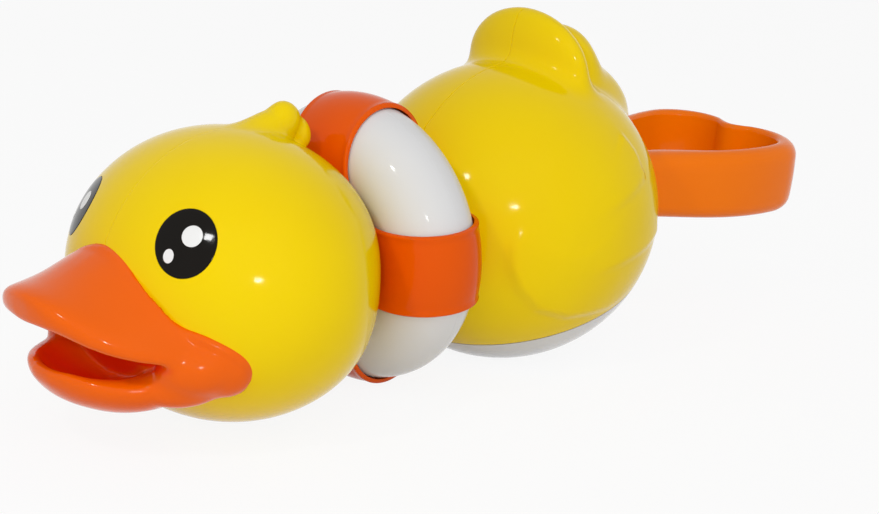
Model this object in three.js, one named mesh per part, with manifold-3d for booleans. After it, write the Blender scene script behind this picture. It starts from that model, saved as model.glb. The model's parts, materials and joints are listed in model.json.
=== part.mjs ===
import * as THREE from 'three';
import { mergeVertices } from 'three/addons/utils/BufferGeometryUtils.js';
import Module from 'manifold-3d';

// Sizes in millimetres. The toy lies along Y with its bill towards -Y, its left side is +X, and +Z is up.
// Places are counted from the middle of the body until the whole toy is pitched onto its belly flat.
const restPitch = 7.2; // degrees, nose down on a table
const shellWall = 2;
const seatGap = 0.3;
const swingGap = 0.4;
const far = 200; // past every piece, for cuts that run right out of the toy

const bodyRadius = 36.2;
const bodyHalfLength = 38.7;
const noseCut = 5.2; // cut off the nose of the body to leave a flat face under the lifebuoy
const noseFlat = bodyHalfLength - noseCut;
const bellyFlatDepth = 1.8;
const bellyLineHeight = -19.6; // where the white belly starts, below the middle of the body
const bellyLineSlope = 0.2; // rise for each millimetre towards the tail

const headHalfWidth = 35;
const headHalfLength = 30.2;
const headHalfHeight = 29.6;
const headRaise = 6.3; // above the middle of the body

const buoyTubeRadius = 10.2;
const buoyRingRadius = 21.3; // from the ring's axis to the middle of its tube
const buoySeatDepth = 4.9; // how far the lifebuoy's bands nest into the back of the head
const buoyNoseGap = 3.4; // between the bands and the flat nose of the body
const buoyDrop = 2;
const bandProud = 1.1;
const bandWall = 0.65;
const bandReach = buoyTubeRadius + bandProud;
const buoyBehindHead = headHalfLength - buoySeatDepth + bandReach;
const headForward = noseFlat + buoyNoseGap + bandReach + buoyBehindHead; // from the middle of the body
const bandHalfAngle = 17.8; // degrees either side of each band's middle
const bandCount = 4;

const eyeAzimuth = 35.2; // degrees from the nose
const eyeElevation = 31.9;
const eyeHalfWidth = 6.6;
const eyeHalfHeight = 7.1;
const eyeDepth = 0.7;
const eyeCutLength = 12; // of the rod that cuts an eye or a glint out of the head's skin
const eyeRim = 0.1; // room around each glint
const glintDepth = 0.35;
const glints = [
  { across: 1.1, up: 1.5, halfWidth: 2.4, halfHeight: 2.4 },
  { across: -3.7, up: -2.6, halfWidth: 1.3, halfHeight: 1.7 },
];

const billReach = 45; // from the middle of the head to the tip of the upper bill
const billRootStart = 12; // from the middle of the head to the first section of the bill
const billRootDepth = 7; // how thick the bill's root is inside the face
const billPadProud = 1;
const cheekHalf = { x: 8, y: 7, z: 6.2 };
const cheekPlace = { x: 21, y: -21, z: -8 };
const cheekTurn = 28; // degrees
const mouthHalf = { x: 17, y: 17, z: 5.6 };
const mouthPlace = { y: -41, z: -3.4 };
const mouthTilt = 8; // degrees, opening upwards at the front

const ringLength = 63.5;
const ringHalfWidth = 24;
const ringWallHeight = 17.5;
const ringWall = 5;
const ringNeckHalfWidth = 10;
const ringCleftDepth = 3.4;
const ringDrop = 3.6; // middle of the ring below the middle of the body
const ringGap = 0.6; // between the body and the front of the ring's neck
const ringStart = bodyHalfLength + ringGap;
const ringRoot = 9; // solid neck ahead of the finger hole
const ringEdgeRadius = 2;
const cordHoleRadius = 1;
const bushRadius = 3.4;
const bushShoulder = 1; // how far the bush's thinner seat reaches past its collar
const bushInside = 5; // how far the bush reaches into the body

const neckRadius = 10.4;
const neckBarRadius = 7;
const neckFlangeRadius = 13;
const neckFlangeThickness = 2.2;
const neckFlangeSetback = 5; // from the deepest point of the head's back wall
const windowRadius = 9.6;
const collarThickness = 3;
const collarProud = 1.2;
const neckBarStart = 8.5; // ahead of the body's flat nose
const yokeStepFront = 7; // ahead of the pivot, where the yoke steps down under the lid

const plateThickness = 2;
const plateHalfWidth = 15;
const frontPlateEnd = -24;
const rearPlateEnd = 26;
const basePlateTop = -11;
const lidPlateBottom = 5;
const postRadius = 2.2;
const bossRadius = 3;
const screwRadius = 0.9;
const screwBite = 0.1; // room around a screw where it cuts its thread
const screwRoom = 0.3; // room around a screw where it passes through
const screwHeadSeat = 7.5; // from the seat of a belly screw's head down to the flat
const screwHeadRadius = 1.9;
const screwHeadHeight = 1.2;
const axleRadius = 1.2;
const axleClearance = 0.08;

const gearModule = 0.8;
const reelTeeth = 36;
const crankTeeth = 18;
const gearThickness = 3;
const gearRoom = 0.8; // under the gears
const gearBacklash = 0.35;
const drumRadius = 12.5;
const drumWall = 1.2;
const drumHeight = 10.5;
const drumFlange = 1.6;
const drumFlangeThickness = 1;
const reelBehind = 9; // reel axle, behind the middle of the body
const hubWall = 1.6;
const gearSink = 0.5; // how far a drum or a pin is sunk into its gear
const crankPinRadius = 1.2;
const crankThrow = 2.2;
const crankPinHeight = 0.9;
const pivotForward = 26; // pivot of the head, ahead of the middle of the body
const pivotPinRadius = 1.5;
const pivotBossRadius = 4.2;
const forkThickness = 2.6;
const forkHalfWidth = 2.6;
const forkReach = 5; // past the crank's axle
const slotReach = 3.6; // of the fork's slot, each way from the crank's axle
const tongueHalfWidth = 5;
const tongueFront = 4; // ahead of the pivot
const ballastRadius = 6;
const ballastPlace = 3;
const ballastTop = 9; // above the bottom of the body's sphere
const springTurns = 4;
const springThickness = 0.5;
const springGap = 0.5;
const springHeight = 8;

const wasm = await Module();
wasm.setup();

const yellow = new THREE.Color(0xf3d503);
const orange = new THREE.Color(0xee6804);
const bandOrange = new THREE.Color(0xe86202);
const pullOrange = new THREE.Color(0xf87d02);
const ivory = new THREE.Color(0xdfdbd7);
const black = new THREE.Color(0x14100c);
const nylon = new THREE.Color(0xe9e7df);
const steel = new THREE.Color(0xb8bbc0);
const lead = new THREE.Color(0x6d6f73);

const degrees = Math.PI / 180;
const headPlace = new THREE.Vector3(0, -headForward, headRaise);
const buoyPlace = new THREE.Vector3(0, buoyBehindHead - headForward, headRaise - buoyDrop);

function toSolid(geometry) {
  const plain = geometry.clone();
  plain.deleteAttribute('normal');
  plain.deleteAttribute('uv');
  const merged = mergeVertices(plain, 1e-4);
  return new wasm.Manifold(new wasm.Mesh({
    numProp: 3,
    vertProperties: new Float32Array(merged.attributes.position.array),
    triVerts: new Uint32Array(merged.index.array),
  }));
}

function toGeometry(solid) {
  const mesh = solid.getMesh();
  const geometry = new THREE.BufferGeometry();
  geometry.setAttribute('position', new THREE.BufferAttribute(new Float32Array(mesh.vertProperties), 3));
  geometry.setIndex(new THREE.BufferAttribute(new Uint32Array(mesh.triVerts), 1));
  geometry.computeVertexNormals();
  return geometry;
}

function ellipsoid(halfX, halfY, halfZ, across = 24, down = 16) {
  const ball = new THREE.SphereGeometry(1, across, down);
  ball.scale(halfX, halfY, halfZ);
  return ball;
}

function placed(geometry, x, y, z, tiltX = 0, tiltY = 0, tiltZ = 0) {
  const turn = new THREE.Euler(tiltX * degrees, tiltY * degrees, tiltZ * degrees);
  geometry.applyMatrix4(new THREE.Matrix4().makeRotationFromEuler(turn));
  geometry.translate(x, y, z);
  return geometry;
}

function block(lowX, lowY, lowZ, highX, highY, highZ) {
  const box = new THREE.BoxGeometry(highX - lowX, highY - lowY, highZ - lowZ);
  box.translate((lowX + highX) / 2, (lowY + highY) / 2, (lowZ + highZ) / 2);
  return box;
}

function pillar(radius, x, y, low, high, sides = 14) {
  const rod = new THREE.CylinderGeometry(radius, radius, high - low, sides);
  return placed(rod, x, y, (low + high) / 2, 90);
}

function barAlongY(radius, x, z, front, back, sides = 28) {
  const rod = new THREE.CylinderGeometry(radius, radius, back - front, sides);
  rod.translate(x, (front + back) / 2, z);
  return rod;
}

function union(...geometries) {
  return geometries.map(toSolid).reduce((whole, piece) => whole.add(piece));
}

function sideHalf(solid, side) {
  const keep = side > 0 ? block(0, -far, -far, far, far, far) : block(-far, -far, -far, 0, far, far);
  return solid.intersect(toSolid(keep));
}

// A closed skin over rings of points, each ring the same number of points, with a point at each end.
function skinOver(rings) {
  const count = rings[0].length;
  const points = [];
  rings.forEach((ring) => ring.forEach((point) => points.push(point.x, point.y, point.z)));
  const middle = (ring) => {
    const centre = new THREE.Vector3();
    ring.forEach((point) => centre.add(point));
    return centre.divideScalar(ring.length);
  };
  const first = middle(rings[0]);
  const last = middle(rings[rings.length - 1]);
  const firstIndex = points.length / 3;
  points.push(first.x, first.y, first.z, last.x, last.y, last.z);
  const lastIndex = firstIndex + 1;
  const faces = [];
  for (let ring = 0; ring < rings.length - 1; ring += 1) {
    for (let step = 0; step < count; step += 1) {
      const next = (step + 1) % count;
      const a = ring * count + step;
      const b = ring * count + next;
      faces.push(a, b, b + count, a, b + count, a + count);
    }
  }
  const lastRing = (rings.length - 1) * count;
  for (let step = 0; step < count; step += 1) {
    const next = (step + 1) % count;
    faces.push(firstIndex, next, step);
    faces.push(lastIndex, lastRing + step, lastRing + next);
  }
  const geometry = new THREE.BufferGeometry();
  geometry.setAttribute('position', new THREE.Float32BufferAttribute(points, 3));
  geometry.setIndex(faces);
  return geometry;
}

// Reads a value from a short list of [place, value] pairs, rounded off between them.
function along(pairs, place) {
  const last = pairs.length - 1;
  if (place <= pairs[0][0]) return pairs[0][1];
  if (place >= pairs[last][0]) return pairs[last][1];
  const index = pairs.findIndex((pair) => pair[0] > place) - 1;
  const before = pairs[Math.max(index - 1, 0)];
  const here = pairs[index];
  const there = pairs[index + 1];
  const after = pairs[Math.min(index + 2, last)];
  const span = there[0] - here[0];
  const t = (place - here[0]) / span;
  const slopeHere = (there[1] - before[1]) / (there[0] - before[0]) * span;
  const slopeThere = (after[1] - here[1]) / (after[0] - here[0]) * span;
  const t2 = t * t;
  const t3 = t2 * t;
  return here[1] * (2 * t3 - 3 * t2 + 1) + slopeHere * (t3 - 2 * t2 + t)
    + there[1] * (3 * t2 - 2 * t3) + slopeThere * (t3 - t2);
}

// Body shells, tail and wings
const tailLobes = [
  { y: 7.5, z: 36.5, halfX: 17.5, halfY: 7, halfZ: 13.5, tilt: 6 },
  { y: 20, z: 32.5, halfX: 12, halfY: 9, halfZ: 14, tilt: 12 },
  { y: 25, z: 24, halfX: 14, halfY: 21, halfZ: 12, tilt: 35 },
];

function tailLobe(lobe, inset) {
  const form = ellipsoid(lobe.halfX - inset, lobe.halfY - inset, lobe.halfZ - inset, 16, 10);
  return placed(form, 0, lobe.y, lobe.z, -lobe.tilt);
}

// A wing's outline from its front round the bottom to the three feather tips, as Y and Z. Each row is the
// corner that a round stretch bends towards, then its end, and a straight stretch has only its end.
const wingFront = [-27.5, 1];
const wingOutline = [
  [-25.5, -12, -13, -16.5], [4, -21, 17, -10], [23, -5, 19.5, -1.5], [11, 2], [19, 9, 14, 13.5],
  [5, 14], [13, 20, 7.5, 23.5], [-22, 20, ...wingFront],
];
const wingProud = 1;

function wingForm(side) {
  const outline = new THREE.Shape();
  outline.moveTo(...wingFront);
  wingOutline.forEach((row) => {
    if (row.length === 4) outline.quadraticCurveTo(...row);
    else outline.lineTo(...row);
  });
  const slab = new THREE.ExtrudeGeometry(outline, {
    depth: bodyRadius * 2, bevelEnabled: false, curveSegments: 4,
  });
  // The outline's first axis runs along Y and its second along Z.
  const turn = new THREE.Matrix4().makeBasis(
    new THREE.Vector3(0, 1, 0), new THREE.Vector3(0, 0, 1), new THREE.Vector3(1, 0, 0));
  slab.applyMatrix4(turn);
  if (side < 0) slab.translate(-bodyRadius * 2, 0, 0);
  const skin = ellipsoid(bodyRadius + wingProud, bodyHalfLength + wingProud, bodyRadius + wingProud);
  return toSolid(slab).intersect(toSolid(skin));
}

function bodyBall(inset) {
  return ellipsoid(bodyRadius - inset, bodyHalfLength - inset, bodyRadius - inset);
}

function belowBelly(offset) {
  const slab = block(-far, -far, -far, far, far, 0);
  return toSolid(placed(slab, 0, 0, bellyLineHeight + offset, Math.atan(bellyLineSlope) / degrees));
}

const bodyForm = [
  toSolid(bodyBall(0)),
  ...tailLobes.map((lobe) => toSolid(tailLobe(lobe, 0))),
  wingForm(1),
  wingForm(-1),
].reduce((whole, piece) => whole.add(piece));

const bodyHollow = [
  toSolid(bodyBall(shellWall)),
  ...tailLobes.map((lobe) => toSolid(tailLobe(lobe, shellWall))),
].reduce((whole, piece) => whole.add(piece));

function aheadOf(distance) {
  return toSolid(block(-far, -far, -far, far, -distance, far));
}

const neckHeight = buoyPlace.z;
const cordHeight = -ringDrop;
const bodyShell = bodyForm
  .subtract(aheadOf(noseFlat))
  .subtract(bodyHollow.subtract(aheadOf(noseFlat - shellWall)))
  .subtract(belowBelly(0))
  .subtract(toSolid(barAlongY(windowRadius + collarThickness + seatGap, 0, neckHeight, -far, -noseFlat / 2)))
  .subtract(toSolid(barAlongY(bushRadius + seatGap, 0, cordHeight, bodyHalfLength / 2, far, 20)));

// White belly, cut flat where the toy rests
const pitch = restPitch * degrees;
const supportHeight = Math.hypot(bodyRadius * Math.cos(pitch), bodyHalfLength * Math.sin(pitch));
const lowestY = -(bodyHalfLength ** 2 - bodyRadius ** 2) * Math.sin(pitch) * Math.cos(pitch) / supportHeight;
const flatLevel = -(supportHeight - bellyFlatDepth);

function belowFlat(level) {
  const slab = block(-far, -far, level - far, far, far, level);
  return toSolid(placed(slab, 0, 0, 0, -restPitch));
}

const bellyScrewPlaces = [[-9, -12], [9, -12], [-9, 18], [9, 18]];
const bellyBosses = bellyScrewPlaces.map(([x, y]) => toSolid(
  pillar(bossRadius, x, y, -bodyRadius, basePlateTop - plateThickness - seatGap)));
const bellySkin = toSolid(bodyBall(0)).intersect(belowBelly(-seatGap));
const bellyHollow = toSolid(bodyBall(shellWall)).subtract(belowFlat(flatLevel + shellWall));
const bossRoomFloor = bellyLineHeight - 2 * bossRadius;
const bossRoom = block(-plateHalfWidth, frontPlateEnd, bossRoomFloor, plateHalfWidth, rearPlateEnd, 0);
let belly = bellySkin.subtract(bellyHollow);
bellyBosses.forEach((boss) => {
  belly = belly.add(boss.intersect(bellySkin.add(toSolid(bossRoom))));
});
belly = belly.subtract(belowFlat(flatLevel));
const screwSeatHeight = flatLevel + screwHeadSeat;
bellyScrewPlaces.forEach(([x, y]) => {
  belly = belly
    .subtract(toSolid(pillar(screwRadius + seatGap, x, y, -far, 0)))
    .subtract(toSolid(pillar(screwHeadRadius + seatGap, x, y, -far, screwSeatHeight)));
});

function screw(x, y, headLow, shankTop) {
  return union(
    pillar(screwHeadRadius, x, y, headLow, headLow + screwHeadHeight),
    pillar(screwRadius, x, y, headLow + screwHeadHeight / 2, shankTop, 12));
}

const bellyScrewTop = basePlateTop - seatGap;
const bellyScrews = bellyScrewPlaces
  .map(([x, y]) => screw(x, y, screwSeatHeight - seatGap - screwHeadHeight, bellyScrewTop));

// Neck collar around the window in the body's nose
const collarFront = -noseFlat - collarProud;
const collarBack = -noseFlat + shellWall;
const collarRing = toSolid(barAlongY(windowRadius + collarThickness, 0, neckHeight, collarFront, collarBack))
  .subtract(toSolid(barAlongY(windowRadius, 0, neckHeight, collarFront - 1, collarBack + 1)));

// Head shells with the tuft
const tuftLobes = [
  { y: 11.5, z: 28, halfX: 5, halfY: 9.5, halfZ: 5, tilt: 2 },
  { y: 18.5, z: 24.5, halfX: 3.6, halfY: 4, halfZ: 5, tilt: -14 },
];

const tuftWallShare = 0.8; // the tuft's wall, as a share of the head's

function headForm(inset) {
  const skull = ellipsoid(headHalfWidth - inset, headHalfLength - inset, headHalfHeight - inset);
  const forms = [toSolid(skull)];
  tuftLobes.forEach((lobe) => {
    const wall = inset * tuftWallShare;
    const tuft = ellipsoid(lobe.halfX - wall, lobe.halfY - wall, lobe.halfZ - wall, 14, 8);
    forms.push(toSolid(placed(tuft, 0, lobe.y, lobe.z, lobe.tilt)));
  });
  return forms.reduce((whole, piece) => whole.add(piece));
}

// The bill is lofted on stations ahead of the middle of the head, each station a rounded section.
const upperTop = [[10, 13], [20, 13.2], [27.4, 12.3], [32, 10.6], [36, 9.4], [41, 8.4], [43.5, 7.6], [45, 5.6]];
const upperEdge = [[10, -8], [17, -8.2], [22, -7.6], [27, -6.2], [32, -4.6], [36, -2.6], [41, 0.8], [45, 4.8]];
const upperWidth = [
  [10, 22], [17, 26.8], [22, 25.4], [27, 23], [32, 20.6], [36, 18], [40, 14.6], [43, 10.4], [45, 2]];
const lowerTop = [[10, -9], [22, -9], [27, -9.2], [32, -8.8], [37, -6.8], [41, -5.6], [43.5, -6.6]];
const lowerBottom = [[10, -23], [20, -22], [27, -20], [33, -18], [38, -15.4], [41, -13], [43.5, -9]];
const lowerWidth = [[10, 18], [18, 21.4], [24, 20.4], [30, 18.2], [35, 15.2], [39, 11.4], [42, 7], [43.5, 2]];
const lipThickness = 4.2;

function stations(from, to, count) {
  return Array.from({ length: count }, (_, index) => {
    const share = index / (count - 1);
    return from + (to - from) * Math.sin(share * Math.PI / 2);
  });
}

function upperBill() {
  const rings = stations(billRootStart, billReach, 10).map((forward) => {
    const top = along(upperTop, forward);
    const edge = along(upperEdge, forward);
    const half = along(upperWidth, forward);
    const ring = [];
    const sides = 18;
    for (let step = 0; step < sides; step += 1) {
      const angle = step / sides * Math.PI * 2;
      const across = Math.cos(angle);
      const spread = Math.abs(across) ** 1.7;
      const thick = Math.min(lipThickness / 2, (top - edge) / 2 + 1);
      const ridge = top - thick + (edge - (top - thick)) * spread;
      const lift = Math.sin(angle) * thick;
      ring.push(new THREE.Vector3(across * half, -forward, ridge + lift));
    }
    return ring;
  });
  return skinOver(rings);
}

function lowerBill() {
  const rings = stations(billRootStart, billReach - 1.5, 10).map((forward) => {
    const top = along(lowerTop, forward);
    const bottom = along(lowerBottom, forward);
    const half = along(lowerWidth, forward);
    const ring = [];
    const sides = 18;
    for (let step = 0; step < sides; step += 1) {
      const angle = step / sides * Math.PI * 2;
      const middle = (top + bottom) / 2;
      const rise = Math.abs(Math.cos(angle)) ** 2 * 1.2;
      ring.push(new THREE.Vector3(
        Math.cos(angle) * half, -forward, middle + rise + Math.sin(angle) * (top - bottom) / 2));
    }
    return ring;
  });
  return skinOver(rings);
}

function cheek(side) {
  const form = ellipsoid(cheekHalf.x, cheekHalf.y, cheekHalf.z, 16, 10);
  return placed(form, side * cheekPlace.x, cheekPlace.y, cheekPlace.z, 0, 0, side * cheekTurn);
}

// The bill's root on the face, as half an outline in X and Z from the forehead down to the throat.
const rootOutline = [[0, 12.4], [6.8, 10.5], [11.2, 6.8], [16.6, 1.1], [23.1, -1.6], [27.2, -4.6],
  [27.6, -8.4], [24.8, -11.6], [18.6, -14.6], [8, -19.4], [0, -20.6]];

const plugBack = headHalfLength / 6; // the plug's cutting form starts this far ahead of the middle of the head

function rootPlug(grow) {
  const right = rootOutline.slice(1, -1).reverse().map(([x, z]) => [-x, z]);
  const loop = [...rootOutline, ...right].map(([x, z]) => new THREE.Vector3(x, z, 0));
  const curve = new THREE.CatmullRomCurve3(loop, true, 'centripetal');
  const steps = 32;
  const outline = new THREE.Shape(Array.from({ length: steps }, (_, index) => {
    const point = curve.getPoint(index / steps);
    const heading = curve.getTangent(index / steps);
    return new THREE.Vector2(point.x - heading.y * grow, point.y + heading.x * grow);
  }));
  const plug = new THREE.ExtrudeGeometry(outline, { depth: billReach - plugBack, bevelEnabled: false });
  plug.rotateX(90 * degrees);
  plug.translate(0, -plugBack, 0);
  return toSolid(plug);
}

function skull(grow) {
  return toSolid(ellipsoid(headHalfWidth + grow, headHalfLength + grow, headHalfHeight + grow));
}

const mouthForm = ellipsoid(mouthHalf.x, mouthHalf.y, mouthHalf.z, 20, 12);
const mouth = placed(mouthForm, 0, mouthPlace.y, mouthPlace.z, -mouthTilt);
const bill = union(upperBill(), lowerBill(), cheek(1), cheek(-1))
  .subtract(skull(seatGap))
  .add(rootPlug(0).intersect(skull(billPadProud)))
  .subtract(skull(-billRootDepth))
  .subtract(toSolid(mouth));

function eyeFrame(side) {
  const azimuth = eyeAzimuth * side * degrees;
  const elevation = eyeElevation * degrees;
  const out = new THREE.Vector3(
    Math.sin(azimuth) * Math.cos(elevation), -Math.cos(azimuth) * Math.cos(elevation), Math.sin(elevation));
  const half = new THREE.Vector3(headHalfWidth, headHalfLength, headHalfHeight);
  const point = out.clone().multiply(half);
  const normal = out.clone().divide(half).normalize();
  const across = new THREE.Vector3(0, 0, 1).cross(normal).normalize();
  const up = normal.clone().cross(across);
  return { point, normal, across, up };
}

function eyePlug(side, across, up, halfWidth, halfHeight, deep) {
  const frame = eyeFrame(side);
  const rod = new THREE.CylinderGeometry(1, 1, eyeCutLength, 18);
  rod.rotateX(90 * degrees);
  rod.scale(halfWidth, halfHeight, 1);
  rod.translate(across, up, 0);
  const basis = new THREE.Matrix4().makeBasis(frame.across, frame.up, frame.normal);
  basis.setPosition(frame.point);
  rod.applyMatrix4(basis);
  return toSolid(rod).subtract(
    toSolid(ellipsoid(headHalfWidth - deep, headHalfLength - deep, headHalfHeight - deep)));
}

const eyeSurface = toSolid(ellipsoid(headHalfWidth, headHalfLength, headHalfHeight));

function eyeParts(side) {
  const socket = eyePlug(side, 0, 0, eyeHalfWidth + seatGap, eyeHalfHeight + seatGap, eyeDepth + seatGap);
  let iris = eyePlug(side, 0, 0, eyeHalfWidth, eyeHalfHeight, eyeDepth).intersect(eyeSurface);
  const shines = [];
  glints.forEach((glint) => {
    const well = eyePlug(side, glint.across, glint.up, glint.halfWidth, glint.halfHeight, glintDepth);
    const wide = eyePlug(
      side, glint.across, glint.up, glint.halfWidth + eyeRim, glint.halfHeight + eyeRim, glintDepth + eyeRim);
    iris = iris.subtract(wide);
    shines.push(well.intersect(eyeSurface));
  });
  return { socket, iris, shines };
}

const leftEye = eyeParts(1);
const rightEye = eyeParts(-1);
const neckInHead = neckHeight - headRaise;
const buoySeat = placed(
  new THREE.TorusGeometry(buoyRingRadius, bandReach + seatGap, 16, 28),
  0, buoyBehindHead, -buoyDrop, 90);
const headShell = headForm(0)
  .subtract(headForm(shellWall))
  .subtract(rootPlug(seatGap))
  .subtract(leftEye.socket)
  .subtract(rightEye.socket)
  .subtract(toSolid(buoySeat))
  .subtract(toSolid(barAlongY(neckRadius + seatGap, 0, neckInHead, headHalfLength / 3, far)));

// Lifebuoy and its raised bands, around the neck
function buoyTube(radius, hollow, start, sweep, steps) {
  const section = new THREE.Shape();
  section.absarc(0, 0, radius, 0, Math.PI * 2);
  if (hollow) {
    const inside = new THREE.Path();
    inside.absarc(0, 0, hollow, 0, Math.PI * 2, true);
    section.holes.push(inside);
  }
  const arc = new THREE.CatmullRomCurve3(Array.from({ length: steps + 1 }, (_, index) => {
    const angle = start + sweep * index / steps;
    return new THREE.Vector3(Math.cos(angle) * buoyRingRadius, 0, Math.sin(angle) * buoyRingRadius);
  }));
  return new THREE.ExtrudeGeometry(section, { steps, extrudePath: arc, curveSegments: 8, bevelEnabled: false });
}

const buoyRing = toSolid(placed(new THREE.TorusGeometry(buoyRingRadius, buoyTubeRadius, 16, 32), 0, 0, 0, 90));

function buoyBand(index) {
  const middle = index / bandCount * Math.PI * 2;
  const half = bandHalfAngle * degrees;
  return toSolid(buoyTube(bandReach, bandReach - bandWall, middle - half, half * 2, 5))
    .subtract(toSolid(barAlongY(neckRadius + seatGap, 0, 0, -far, far)));
}

// Neck, pivot and fork that swing the head
const pivotY = -pivotForward;
const reelY = reelBehind;
const reelPitch = gearModule * reelTeeth / 2;
const crankPitch = gearModule * crankTeeth / 2;
const crankY = reelY - reelPitch - crankPitch - gearBacklash;
const gearLow = basePlateTop + gearRoom;
const gearHigh = gearLow + gearThickness;
const forkLow = gearHigh + crankPinHeight + swingGap;
const forkTop = forkLow + forkThickness;
const headBackInside = headForward - headHalfLength + shellWall;
const flangeFront = -headBackInside - neckFlangeSetback - neckFlangeThickness;
const neckBack = -noseFlat - neckBarStart;
const pivotTop = lidPlateBottom - swingGap;
const pivotLow = basePlateTop + swingGap;

let yoke = union(
  barAlongY(neckFlangeRadius, 0, neckHeight, flangeFront, flangeFront + neckFlangeThickness),
  barAlongY(neckRadius, 0, neckHeight, flangeFront, neckBack),
  barAlongY(neckBarRadius, 0, neckHeight, neckBack - 1, pivotY - 1, 24))
  .subtract(toSolid(block(-far, pivotY - yokeStepFront, pivotTop, far, far, far)));
yoke = yoke
  .add(toSolid(pillar(pivotBossRadius, 0, pivotY, pivotLow, pivotTop, 24)))
  .add(toSolid(block(-forkHalfWidth, pivotY, forkLow, forkHalfWidth, crankY + forkReach, forkTop)))
  .subtract(toSolid(pillar(pivotPinRadius + axleClearance, 0, pivotY, -far, far, 24)));
const slotHalf = crankPinRadius + seatGap;
yoke = yoke.subtract(toSolid(block(
  -slotHalf, crankY - slotReach, forkLow - forkThickness, slotHalf, crankY + slotReach, forkTop + forkThickness)));

// Gear box plates, axles and gears inside the body
function plate(low, high) {
  const slabs = [block(-plateHalfWidth, frontPlateEnd, low, plateHalfWidth, rearPlateEnd, high)];
  slabs.push(block(-tongueHalfWidth, pivotY - tongueFront, low, tongueHalfWidth, frontPlateEnd + 1, high));
  return slabs.map(toSolid).reduce((whole, piece) => whole.add(piece));
}

const postInset = 2.8; // from the plates' edges
const postPlaces = [frontPlateEnd + postInset, rearPlateEnd - postInset]
  .flatMap((y) => [postInset - plateHalfWidth, plateHalfWidth - postInset].map((x) => [x, y]));
const postBore = 11; // depth of the screw's bore from the top of a post
const axlePlaces = [[0, reelY], [0, crankY]];
const fit = axleRadius + axleClearance;
let base = plate(basePlateTop - plateThickness, basePlateTop);
let lid = plate(lidPlateBottom, lidPlateBottom + plateThickness);
postPlaces.forEach(([x, y]) => {
  base = base
    .add(toSolid(pillar(postRadius, x, y, basePlateTop - 1, lidPlateBottom - seatGap)))
    .subtract(toSolid(pillar(screwRadius + screwBite, x, y, lidPlateBottom - postBore, far, 12)));
  lid = lid.subtract(toSolid(pillar(screwRadius + screwRoom, x, y, -far, far, 12)));
});
axlePlaces.forEach(([x, y]) => {
  base = base.subtract(toSolid(pillar(fit, x, y, -far, far)));
  lid = lid.subtract(toSolid(pillar(fit, x, y, -far, far)));
});
base = base.subtract(toSolid(pillar(pivotPinRadius + axleClearance, 0, pivotY, -far, far)));
lid = lid.subtract(toSolid(pillar(pivotPinRadius + axleClearance, 0, pivotY, -far, far)));
bellyScrewPlaces.forEach(([x, y]) => {
  base = base.subtract(toSolid(pillar(screwRadius + screwBite, x, y, -far, 0, 12)));
});
const lidTop = lidPlateBottom + plateThickness;
const lidScrews = postPlaces
  .map(([x, y]) => union(
    pillar(screwHeadRadius, x, y, lidTop + seatGap, lidTop + seatGap + screwHeadHeight),
    pillar(screwRadius, x, y, lidPlateBottom - postBore + 1, lidTop + screwHeadHeight, 12)));

function gearOutline(teeth) {
  const pitchRadius = gearModule * teeth / 2;
  const tip = pitchRadius + gearModule * 0.9;
  const root = pitchRadius - gearModule * 1.15;
  const outline = new THREE.Shape();
  for (let tooth = 0; tooth < teeth; tooth += 1) {
    const middle = tooth / teeth * Math.PI * 2;
    const pitchAngle = Math.PI * 2 / teeth;
    const corners = [[root, -0.33], [tip, -0.11], [tip, 0.11], [root, 0.33]];
    corners.forEach(([radius, share]) => {
      const angle = middle + share * pitchAngle;
      const x = Math.cos(angle) * radius;
      const y = Math.sin(angle) * radius;
      if (tooth === 0 && share === -0.33) outline.moveTo(x, y);
      else outline.lineTo(x, y);
    });
  }
  return outline;
}

function gear(teeth, turn, y) {
  const body = new THREE.ExtrudeGeometry(gearOutline(teeth), { depth: gearThickness, bevelEnabled: false });
  body.rotateZ(turn);
  body.translate(0, y, gearLow);
  return toSolid(body);
}

const drumTop = gearHigh + drumHeight;
const drumFloor = gearHigh + drumFlangeThickness;
const reel = gear(reelTeeth, -Math.PI / 2, reelY)
  .add(toSolid(pillar(drumRadius, 0, reelY, gearHigh - gearSink, drumTop, 28)))
  .add(toSolid(pillar(drumRadius + drumFlange, 0, reelY, drumTop - drumFlangeThickness, drumTop, 28)))
  .subtract(toSolid(pillar(drumRadius - drumWall, 0, reelY, drumFloor, far, 28)))
  .add(toSolid(pillar(axleRadius + hubWall, 0, reelY, gearLow, drumTop, 16)))
  .subtract(toSolid(pillar(fit, 0, reelY, -far, far)));

const pinTop = gearHigh + crankPinHeight;
const crankCap = 0.6; // closed top of the crank gear over its axle
const crank = gear(crankTeeth, Math.PI / 2 + Math.PI / crankTeeth, crankY)
  .add(toSolid(pillar(crankPinRadius, 0, crankY + crankThrow, gearHigh - gearSink, pinTop, 16)))
  .subtract(toSolid(pillar(fit, 0, crankY, -far, gearHigh - crankCap)));

function springStrip() {
  const outline = new THREE.Shape();
  const inner = axleRadius + hubWall + springGap + springThickness;
  const outer = drumRadius - drumWall - springGap;
  const steps = springTurns * 14;
  const edge = (offset) => Array.from({ length: steps + 1 }, (_, index) => {
    const share = index / steps;
    const radius = inner + (outer - inner) * share + offset;
    const angle = share * springTurns * Math.PI * 2;
    return new THREE.Vector2(Math.cos(angle) * radius, Math.sin(angle) * radius);
  });
  outline.setFromPoints([...edge(0), ...edge(-springThickness).reverse()]);
  return new THREE.ExtrudeGeometry(outline, { depth: springHeight, bevelEnabled: false });
}

const spring = springStrip();
spring.translate(0, reelY, drumFloor + seatGap);

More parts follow.
